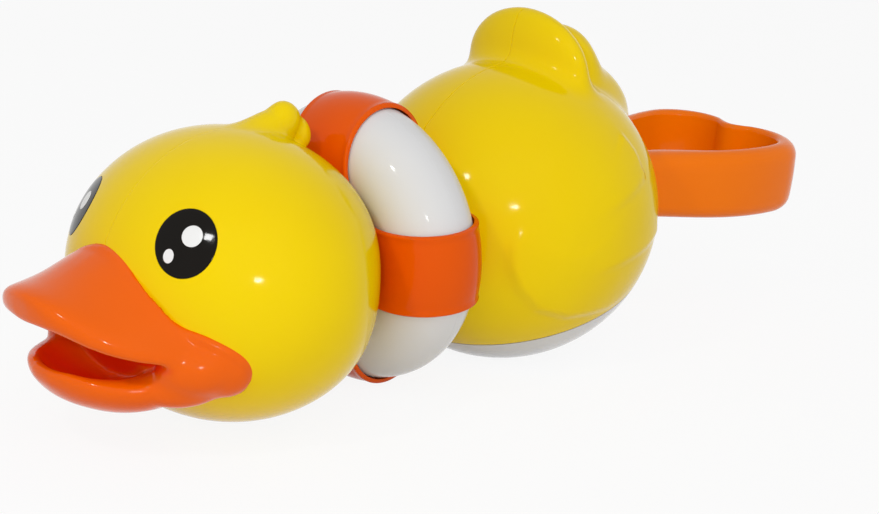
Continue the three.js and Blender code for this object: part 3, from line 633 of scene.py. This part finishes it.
def closedCurve(corners, steps):
    # A smooth closed line through corners, with its headings
    count = len(corners)
    points = []
    for step in range(steps):
        t = step / steps * count
        index = int(t)
        t -= index
        a, b, c, d = (np.array(corners[(index + shift) % count], float) for shift in (-1, 0, 1, 2))
        points.append(0.5 * ((2 * b) + (c - a) * t + (2 * a - 5 * b + 4 * c - d) * t ** 2
                             + (3 * b - a - 3 * c + d) * t ** 3))
    return points


def rootPlug(grow):
    mirrored = [(-x, z) for x, z in reversed(rootOutline[1:-1])]
    line = closedCurve(rootOutline + mirrored, bill["rootSteps"])
    loops = []
    for y in bill["plugPlaces"]:
        loop = []
        for index, point in enumerate(line):
            heading = line[(index + 1) % len(line)] - line[index - 1]
            heading = heading / np.linalg.norm(heading)
            x, z = point[0] - heading[1] * grow, point[1] + heading[0] * grow
            loop.append(headPlace + Vector((x, y, z)))
        loops.append(loop)
    return addSkin("rootPlug", loops)


def eyeFrame(side):
    azimuth, elevation = math.radians(eye["azimuth"]) * side, math.radians(eye["elevation"])
    half = Vector(head["half"])
    out = Vector((math.sin(azimuth) * math.cos(elevation), -math.cos(azimuth) * math.cos(elevation),
                  math.sin(elevation)))
    point = out * half
    normal = Vector([out[i] / half[i] for i in range(3)]).normalized()
    across = Vector((0, 0, 1)).cross(normal).normalized()
    return point, normal, across, normal.cross(across)


def eyePatch(name, side, across, up, half, low, high):
    # A round patch that follows the head's curve, from low to high above its surface
    point, normal, acrossWay, upWay = eyeFrame(side)
    size = Vector(head["half"])
    loops = []
    rings = [(share, high) for share in eye["topShares"]] + [(1.0, high - eye["rimDrop"]), (1.0, low)]
    rings += [(share, low) for share in eye["underShares"]]
    for share, lift in rings:
        loop = []
        for step in range(eye["steps"]):
            angle = step / eye["steps"] * math.tau
            flat = point + acrossWay * (across + math.cos(angle) * half[0] * share) \
                + upWay * (up + math.sin(angle) * half[1] * share)
            outward = Vector([flat[i] / size[i] for i in range(3)])
            onSkin = Vector([outward.normalized()[i] * (size[i] + lift) for i in range(3)])
            loop.append(headPlace + onSkin)
        loops.append(loop)
    return addSkin(name, loops)


def narrowBehind(form):
    # The back of the head draws in a little towards the lifebuoy, at the height of its middle
    points = readPoints(form)
    local = points - np.array(headPlace)
    share = smoothStep((local[:, 1] - head["narrowFrom"]) / head["narrowOver"])
    share = share * np.exp(-((local[:, 2] - head["narrowHeight"]) / head["narrowReach"]) ** 2)
    points[:, 0] *= 1 - head["narrowing"] * share
    writePoints(form, points)


def buildHeadShells():
    lobes = [dict(lobe, place=tuple(headPlace + Vector(lobe["place"]))) for lobe in headLobes]
    form = blendedForm("headForm", lobes, head["voxel"])
    hollow = blendedForm("headHollow", thinner(lobes, shellWall)[:1], head["voxel"] * blend["hollowVoxel"])
    narrowBehind(form)
    narrowBehind(hollow)
    carve(form, hollow)
    bpy.ops.mesh.primitive_torus_add(major_segments=96, minor_segments=48, major_radius=buoy["ringRadius"],
                                     minor_radius=buoy["tubeRadius"] + buoy["bandProud"] + seatGap,
                                     location=buoyPlace, rotation=(math.radians(90), 0, 0))
    carve(form, settle("buoySeat"))
    carve(form, rootPlug(bill["seatGap"]))
    neckAt = headPlace + Vector((0, head["neckStart"], buoyPlace.z - headPlace.z))
    carve(form, addRod("neckHole", buoy["neckRoom"], neckAt, neckAt + Vector((0, far, 0))))
    for side in (1, -1):
        room = [size + eye["room"] for size in eye["half"]]
        carve(form, eyePatch("socket", side, 0, 0, room, -eye["deep"] - eye["room"], eye["cut"]))
    for side, name in ((1, "head_shell_left"), (-1, "head_shell_right")):
        shell = sideOf(form, side, f"yellow_{name}")
        softenSeam(shell, side, headPlace)
        smoothShade(shell)
        place(shell, "head", "yellow_shell", yellowPlastic, name)
    bpy.data.objects.remove(form)


def buildEyes():
    for side, name in ((1, "left_eye"), (-1, "right_eye")):
        disc = eyePatch(f"{name}_disc", side, 0, 0, eye["half"], -eye["deep"], eye["proud"])
        smoothShade(disc, 50)
        place(disc, "head", "eye_black", eyeInk, name)
        for index, glint in enumerate(glints):
            mark = eyePatch(f"{name}_glint_mark_{index + 1}", side, glint["across"], glint["up"],
                            glint["half"], eye["proud"] + eye["markFoot"], eye["proud"] + eye["markProud"])
            smoothShade(mark, 50)
            place(mark, "head", "eye_white", glintInk, f"{name}_glint_{index + 1}")


buildHeadShells()
print("head shells made")
buildEyes()
print("eyes made")


# Bill: a wide upper lip, a jaw and two cheeks around an open mouth

upperTop = [(10, 13), (20, 13.2), (27.4, 12.3), (32, 10.7), (36, 9.4), (40, 8.7), (43.5, 8.6), (45.7, 8.2)]
upperEdge = [(10, -8), (17, -7.2), (22, -6.4), (27, -5.2), (32, -3.5), (36, -1.8), (41, 1.2), (44, 4.0),
             (45.7, 5.2)]
upperWidth = [(10, 22), (17, 26.6), (22, 25.2), (27, 23), (32, 20.8), (36, 18.6), (40, 15.6), (43, 11.6),
              (45, 7), (45.7, 3)]
upperLip = [(10, 3.8), (38, 3.8), (42, 3.4), (45.7, 2.8)]
lowerTop = [(10, -8.8), (22, -8.8), (27, -8.8), (32, -8.3), (36, -7.8), (39.5, -7.0), (42, -6.2), (43.4, -7)]
lowerBottom = [(10, -19), (20, -19), (27, -18.8), (33, -18), (38, -15.6), (41, -13.2), (43.4, -9.6)]
lowerWidth = [(10, 14), (18, 17.6), (24, 18.8), (30, 18.2), (35, 15.6), (39, 11.8), (42, 6.6), (43.4, 2.4)]


def billStations(end):
    start, count = bill["rootStart"], bill["stations"]
    return [start + (end - start) * math.sin(index / (count - 1) * math.pi / 2) for index in range(count)]


def rounder(value, power):
    return math.copysign(abs(value) ** power, value)


def upperLoop(forward, sides=60):
    # A bent sheet with thick round lips at its sides
    top, edge, half = along(upperTop, forward), along(upperEdge, forward), along(upperWidth, forward)
    thick = along(upperLip, forward)
    loop = []
    for step in range(sides):
        angle = step / sides * math.tau
        out = rounder(math.cos(angle), bill["lipPower"])
        height = top - thick + (edge - (top - thick)) * abs(out) ** bill["droop"]
        height += rounder(math.sin(angle), bill["lipPower"]) * thick
        loop.append(headPlace + Vector((out * half, -forward, height)))
    return loop


def lowerLoop(forward, sides=60):
    # A bowl whose rim stands up at its sides
    top, bottom, half = along(lowerTop, forward), along(lowerBottom, forward), along(lowerWidth, forward)
    widest = top - bill["jawLip"]
    loop = []
    for step in range(sides):
        angle = step / sides * math.tau
        rise = math.sin(angle)
        if rise > 0:
            height = widest + rounder(rise, bill["bowlPower"]) * (top - widest)
        else:
            height = widest + rise * (widest - bottom)
        loop.append(headPlace + Vector((math.cos(angle) * half, -forward, height)))
    return loop


def skull(grow):
    return addBall("skull", headPlace, [h + grow for h in head["half"]], across=96, down=64)


def buildBill():
    upper = addSkin("upper", [upperLoop(forward) for forward in billStations(bill["reach"])])
    lower = addSkin("lower", [lowerLoop(forward) for forward in billStations(bill["jawReach"])])
    cheeks = []
    for side in (1, -1):
        for cheek in bill["cheeks"]:
            x, y, z = cheek["place"]
            cheeks.append(addBall("cheek", headPlace + Vector((side * x, y, z)), cheek["half"],
                                  (0, 0, -side * math.radians(cheek["turn"]))))
    form = joined(upper, lower, *cheeks)
    form.name = "orange_bill"
    finishWith(form, "REMESH", mode="VOXEL", voxel_size=bill["voxel"])
    carve(form, addBall("mouth", headPlace + Vector(bill["mouthPlace"]), bill["mouthHalf"],
                        (math.radians(bill["mouthTilt"]), 0, 0)))
    carve(form, addBall("palate", headPlace + Vector(bill["palatePlace"]), bill["palateHalf"]))
    finishWith(form, "REMESH", mode="VOXEL", voxel_size=bill["voxel"])
    finishWith(form, "SMOOTH", factor=0.5, iterations=bill["soften"])
    carve(form, skull(seatGap))
    plug = rootPlug(bill["padGrow"])
    carve(plug, skull(bill["padProud"]), "INTERSECT")
    carve(form, plug, "UNION")
    carve(form, skull(-bill["rootDepth"]))
    finishWith(form, "REMESH", mode="VOXEL", voxel_size=bill["voxel"])
    finishWith(form, "SMOOTH", factor=0.5, iterations=bill["lastSoften"])
    smoothShade(form, 60)
    return place(form, "head", "bill_orange", billPlastic, "bill")


buildBill()
print("bill made")


# Lifebuoy around the neck, with four raised bands

def buildBuoy():
    # The two halves of the white ring meet in a fine parting line around its outside
    line = buoy["partingHalf"]
    swings = [-2 * line, -line, 0, line, 2 * line]
    rest = 64
    swings += [2 * line + (math.tau - 4 * line) * step / rest for step in range(1, rest)]
    loops = []
    for turn in range(144):
        angle = turn / 144 * math.tau
        way = Vector((math.cos(angle), 0, math.sin(angle)))
        loop = []
        for swing in swings:
            radius = buoy["tubeRadius"] - (buoy["partingDepth"] if swing == 0 else 0)
            out = buoy["ringRadius"] + math.cos(swing) * radius
            loop.append(buoyPlace + way * out + Vector((0, math.sin(swing) * radius, 0)))
        loops.append(loop)
    ring = addSkin("white_lifebuoy_ring", loops, capped=False)
    smoothShade(ring, 60)
    place(ring, "head", "ivory_shell", ivoryPlastic, "lifebuoy_ring")
    for index in range(4):
        buildBand(index)


def buildBand(index):
    # A band of even width over the ring, with a lip along both edges; the profile has (across, radius) pairs
    middle = math.radians(90 * index)
    half = buoy["bandHalf"]
    outer = buoy["tubeRadius"] + buoy["bandProud"]
    inner = outer - buoy["bandWall"]
    lipWidth, lipRound = buoy["lipWidth"], buoy["lipRound"]
    profile = [(-half, inner), (-half, outer - lipRound),
               (-half + lipRound, outer + buoy["lip"] - buoy["lipDrop"]),
               (-half + lipWidth / 2, outer + buoy["lip"]), (-half + lipWidth, outer)]
    steps = 14
    inside = [(-half + lipWidth + (half - lipWidth) * 2 * step / steps, outer) for step in range(1, steps)]
    profile += inside + [(-across, radius) for across, radius in reversed(profile)]
    profile += [(-across, inner) for across, radius in inside]
    loops = []
    for across, radius in profile:
        loop = []
        for step in range(64):
            swing = step / 64 * math.tau
            out = max(buoy["ringRadius"] + math.cos(swing) * radius, buoy["neckRoom"])
            reach = min(half, out * buoy["innerShare"]) / half
            angle = middle + math.asin(across * reach / out)
            way = Vector((math.cos(angle), 0, math.sin(angle)))
            loop.append(buoyPlace + way * out + Vector((0, math.sin(swing) * radius, 0)))
        loops.append(loop)
    band = addSkin(f"orange_lifebuoy_band_{index + 1}", loops, capped=False)
    smoothShade(band, 60)
    place(band, "head", "band_orange", bandPlastic, f"lifebuoy_band_{index + 1}")


buildBuoy()
print("lifebuoy made")


# Pull ring at the tail

pull = {
    "length": 59.8, "halfWidth": 25.2, "height": 17.5, "wall": 5, "start": 39.3, "root": 9, "flare": 0.13,
    "edge": 3.8, "edgeReach": 0.9, "crown": 0.5, "rim": 1.2,
    "neckHalf": 10, "neckShare": 0.9, "neckSpread": 3, "neckRun": 12,
    "lobeGrow": 1, "lobeRun": 22, "lobeTurn": 0.62, "cleft": 3.4, "cleftHalf": 2,
    "lift": 2.4, "sag": 4.1, "swing": 3.0, "roll": 2.6,  # how it hangs on its cord
}


def bezier(corners, steps):
    points = []
    for step in range(1, steps + 1):
        t = step / steps
        work = [np.array(corner, float) for corner in corners]
        while len(work) > 1:
            work = [a + (b - a) * t for a, b in zip(work[:-1], work[1:])]
        points.append(tuple(work[0]))
    return points


def ringLine(inset, steps=30):
    # The ring's outline, drawn inwards by inset: half of it, then mirrored
    edge = pull["edge"]
    front = inset if inset < edge else edge + (inset - edge) * (pull["root"] - edge) / (pull["wall"] - edge)
    radius = (pull["halfWidth"] - inset) / 2 + pull["lobeGrow"]
    lobeX = pull["halfWidth"] - inset - radius
    lobeY = pull["length"] - radius - inset
    neck = pull["neckHalf"] - inset * pull["neckShare"]
    cleft = pull["length"] - pull["cleft"] - inset
    leave = (neck + pull["neckSpread"], front + pull["neckRun"])
    arrive = (lobeX + radius, lobeY - pull["lobeRun"])
    line = [(neck * step / 5, front) for step in range(1, 6)]
    line += bezier([(neck, front), leave, arrive, (lobeX + radius, lobeY)], steps)
    for step in range(1, steps + 1):
        turn = pull["lobeTurn"] * math.pi * step / steps
        line.append((lobeX + radius * math.cos(turn), lobeY + radius * math.sin(turn)))
    line += bezier([line[-1], (pull["cleftHalf"], cleft), (0, cleft)], 8)
    return [(0, front)] + line + [(-x, y) for x, y in reversed(line[:-1])]


def ringSection():
    # Wall section as (inset, height) pairs: up the crowned outside, over the top, down the inside and under
    half, edge, wall, rim = pull["height"] / 2, pull["edge"], pull["wall"], pull["rim"]
    outside = []
    for step in range(-6, 7):
        z = step / 6 * (half - edge)
        outside.append((pull["crown"] * (z / half) ** 2, z))
    start = outside[-1][0]
    over = []
    for turn in (step / 6 * math.pi / 2 for step in range(1, 7)):
        over.append((start + (1 - math.cos(turn)) * edge * pull["edgeReach"], half - edge + math.sin(turn) * edge))
    for turn in (step / 5 * math.pi / 2 for step in range(1, 6)):
        over.append((wall - rim + math.sin(turn) * rim, half - rim + math.cos(turn) * rim))
    return outside + over + [(inset, -z) for inset, z in reversed(over)]


def ringPoint(x, y, z):
    # The wall grows a little higher towards the end, and the ring lies a little turned about its length
    tall = z * (1 + pull["flare"] * y / pull["length"])
    roll = math.radians(pull["roll"])
    across = x * math.cos(roll) + tall * math.sin(roll)
    up = tall * math.cos(roll) - x * math.sin(roll)
    return Vector((across, pull["start"] + y, up + pull["lift"] - cordDrop))


def buildPullRing():
    loops = [[ringPoint(x, y, z) for x, y in ringLine(inset)] for inset, z in ringSection()]
    ring = addSkin("orange_pull_ring", loops, capped=False)
    # It hangs loosely on its cord, a little down and to one side
    root = Vector((0, pull["start"], -cordDrop))
    down = Matrix.Rotation(-math.radians(pull["sag"]), 4, "X")
    hang = Matrix.Rotation(-math.radians(pull["swing"]), 4, "Z") @ down
    ring.data.transform(Matrix.Translation(root) @ hang @ Matrix.Translation(-root))
    smoothShade(ring, 50)
    return place(ring, "pull_ring", "pull_orange", pullPlastic, "pull_ring")


buildPullRing()
print("pull ring made")


# Small turned pieces, at the places and sizes of their plain nodes

turned = {"collarLip": 0.8, "bushLip": 0.4, "bushSeat": 0.3, "bushShoulder": 1, "lipRound": 0.3}
screwForm = {"headRadius": 1.9, "headHeight": 1.2, "shankRadius": 0.9, "slotHalf": 0.24, "slotReach": 1.15,
             "slotDepth": 0.7, "edge": 0.14}


def nodePoints(name):
    node = frame["nodes"][name]
    toToy = toTable.inverted() @ node.matrix_world
    return np.array([tuple(toToy @ corner.co) for corner in node.data.vertices])


def revolved(name, profile, height, sides=96):
    # A closed ring about an axis along Y; the profile is in (radius, y) pairs
    loops = []
    for step in range(sides):
        angle = step / sides * math.tau
        loops.append([Vector((math.cos(angle) * radius, y, height + math.sin(angle) * radius))
                      for radius, y in profile])
    return addSkin(name, loops, capped=False)


def turnedSizes(name):
    # Inner and outer radius, front and back, and height of the axis
    points = nodePoints(name)
    low, high = points.min(axis=0), points.max(axis=0)
    height = (low[2] + high[2]) / 2
    inner = np.hypot(points[:, 0], points[:, 2] - height).min()
    return float(inner), float(high[0] - low[0]) / 2, float(low[1]), float(high[1]), float(height)


def buildCollar():
    inner, outer, front, back, height = turnedSizes("neck_collar")
    lip = turned["collarLip"]
    near = lip * turned["lipRound"]
    profile = [(inner, back), (inner, front + lip), (inner + near, front + near), (inner + lip, front),
               (outer - lip, front), (outer - near, front + near), (outer, front + lip), (outer, back)]
    collar = revolved("yellow_neck_collar", profile, height)
    smoothShade(collar, 50)
    place(collar, "body", "yellow_shell", yellowPlastic, "neck_collar")


def buildBush():
    inner, outer, front, back, height = turnedSizes("cord_bush")
    seat, shoulder, lip = outer - turned["bushSeat"], front + turned["bushShoulder"], turned["bushLip"]
    near = lip * turned["lipRound"]
    profile = [(inner, back - lip), (inner, front), (seat, front), (seat, shoulder), (outer, shoulder),
               (outer, back - lip), (outer - near, back - near), (outer - lip, back),
               (inner + lip, back), (inner + near, back - near)]
    bush = revolved("nylon_cord_bush", profile, height, 64)
    smoothShade(bush, 50)
    place(bush, "body", "nylon", nylonFinish, "cord_bush")


def buildScrews():
    for index, (x, y) in enumerate(belly["screws"]):
        points = nodePoints(f"belly_screw_{index + 1}")
        low, top = float(points[:, 2].min()), float(points[:, 2].max())
        screw = addRod(f"belly_screw_form_{index + 1}", screwForm["headRadius"], (x, y, low),
                       (x, y, low + screwForm["headHeight"]), 48)
        finishWith(screw, "BEVEL", width=screwForm["edge"], segments=2, limit_method="ANGLE")
        thin, wide = screwForm["slotHalf"], screwForm["slotReach"]
        for spread in ((thin, wide), (wide, thin)):
            carve(screw, addBlock("slot", (x - spread[0], y - spread[1], low - 1),
                                  (x + spread[0], y + spread[1], low + screwForm["slotDepth"])))
        carve(screw, addRod("shank", screwForm["shankRadius"], (x, y, low + screwForm["headHeight"] / 2),
                            (x, y, top), 24), "UNION")
        smoothShade(screw)
        place(screw, "body", "steel", steelFinish, f"belly_screw_{index + 1}")


buildCollar()
buildBush()
buildScrews()
print("collar, bush and screws made")


# Plain nodes that stay, with their finishes

stayFinishes = {
    "gearbox_base": nylonFinish, "gearbox_lid": nylonFinish, "reel": nylonFinish,
    "crank_gear": nylonFinish, "neck_yoke": nylonFinish, "mainspring": steelFinish,
    "reel_axle": steelFinish, "crank_axle": steelFinish, "head_pivot_pin": steelFinish,
    "ballast_weight": weightFinish,
}
for index in range(1, 5):
    stayFinishes[f"gearbox_screw_{index}"] = steelFinish
for name, finish in stayFinishes.items():
    materials = frame["nodes"][name].data.materials
    materials.clear()
    materials.append(finish)
print("inner pieces finished")


# Table, light and camera

table = {"size": 6, "shade": 0.86, "roughness": 0.9, "whiteness": 0.9}
light = {"room": 0.43, "white": 1, "aim": (0, -0.03, 0.035)}
softboxes = {
    "big soft light": {"place": (0.85, -0.6, 0.8), "size": (1.2, 1.2), "power": 5.0, "inGloss": False},
    "side softbox": {"place": (0.711, -0.516, 0.296), "size": (0.07, 0.042), "power": 1.15, "inGloss": True},
    "near softbox": {"place": (0.07, -0.30, 0.24), "size": (0.021, 0.021), "power": 0.15, "inGloss": True},
}
view = {
    "sensor": 36, "lens": 57.34, "place": (0.216316, -0.255154, 0.107232),
    "right": (0.716916, 0.692263, 0.082484),
    "up": (-0.231682, 0.124983, 0.964729),
    "back": (0.657537, -0.710740, 0.249987),
}


def seenShare(tree, whiteness):
    # How white a surface looks to the camera, also when seen in a mirror or through glass
    seen = tree.nodes.new("ShaderNodeLightPath")
    either = tree.nodes.new("ShaderNodeMath")
    either.operation = "MAXIMUM"
    tree.links.new(seen.outputs["Is Camera Ray"], either.inputs[0])
    tree.links.new(seen.outputs["Is Glossy Ray"], either.inputs[1])
    anyOf = tree.nodes.new("ShaderNodeMath")
    anyOf.operation = "MAXIMUM"
    tree.links.new(either.outputs["Value"], anyOf.inputs[0])
    tree.links.new(seen.outputs["Is Transmission Ray"], anyOf.inputs[1])
    share = tree.nodes.new("ShaderNodeMath")
    share.operation = "MULTIPLY"
    share.inputs[1].default_value = whiteness
    tree.links.new(anyOf.outputs["Value"], share.inputs[0])
    return share.outputs["Value"]


def buildFloor():
    bpy.ops.mesh.primitive_plane_add(size=table["size"], location=(0, 0, 0))
    floor = settle("table_top")
    finish = bpy.data.materials.new("pale table")
    finish.use_nodes = True
    tree = finish.node_tree
    shader = tree.nodes["Principled BSDF"]
    shader.inputs["Base Color"].default_value = (table["shade"], table["shade"], table["shade"], 1)
    shader.inputs["Roughness"].default_value = table["roughness"]
    glow = tree.nodes.new("ShaderNodeEmission")
    glow.inputs["Color"].default_value = (1, 1, 1, 1)
    mix = tree.nodes.new("ShaderNodeMixShader")
    tree.links.new(seenShare(tree, table["whiteness"]), mix.inputs["Fac"])
    tree.links.new(shader.outputs["BSDF"], mix.inputs[1])
    tree.links.new(glow.outputs["Emission"], mix.inputs[2])
    tree.links.new(mix.outputs["Shader"], tree.nodes["Material Output"].inputs["Surface"])
    floor.data.materials.append(finish)


def addSoftbox(name, box):
    bpy.ops.object.light_add(type="AREA", location=box["place"])
    lamp = bpy.context.object
    lamp.name = name
    lamp.data.shape = "RECTANGLE"
    lamp.data.size, lamp.data.size_y = box["size"]
    lamp.data.energy = box["power"]
    lamp.visible_glossy = box["inGloss"]
    way = Vector(light["aim"]) - Vector(box["place"])
    lamp.rotation_euler = way.to_track_quat("-Z", "Y").to_euler()


def buildLight():
    world = bpy.data.worlds.new("soft room")
    bpy.context.scene.world = world
    world.use_nodes = True
    tree = world.node_tree
    room = tree.nodes["Background"]
    room.inputs["Color"].default_value = (1, 1, 1, 1)
    room.inputs["Strength"].default_value = light["room"]
    white = tree.nodes.new("ShaderNodeBackground")
    white.inputs["Color"].default_value = (1, 1, 1, 1)
    white.inputs["Strength"].default_value = light["white"]
    mix = tree.nodes.new("ShaderNodeMixShader")
    tree.links.new(seenShare(tree, 1), mix.inputs["Fac"])
    tree.links.new(room.outputs["Background"], mix.inputs[1])
    tree.links.new(white.outputs["Background"], mix.inputs[2])
    tree.links.new(mix.outputs["Shader"], tree.nodes["World Output"].inputs["Surface"])
    for name, box in softboxes.items():
        addSoftbox(name, box)


def buildCamera():
    bpy.ops.object.camera_add()
    camera = bpy.context.object
    camera.name = "table camera"
    camera.data.sensor_width = view["sensor"]
    camera.data.sensor_fit = "HORIZONTAL"
    camera.data.lens = view["lens"]
    turn = Matrix((view["right"], view["up"], view["back"])).transposed().to_4x4()
    camera.matrix_world = Matrix.Translation(view["place"]) @ turn
    bpy.context.scene.camera = camera


buildFloor()
buildLight()
buildCamera()
bpy.context.scene.view_settings.view_transform = "Standard"
print("table, light and camera set")
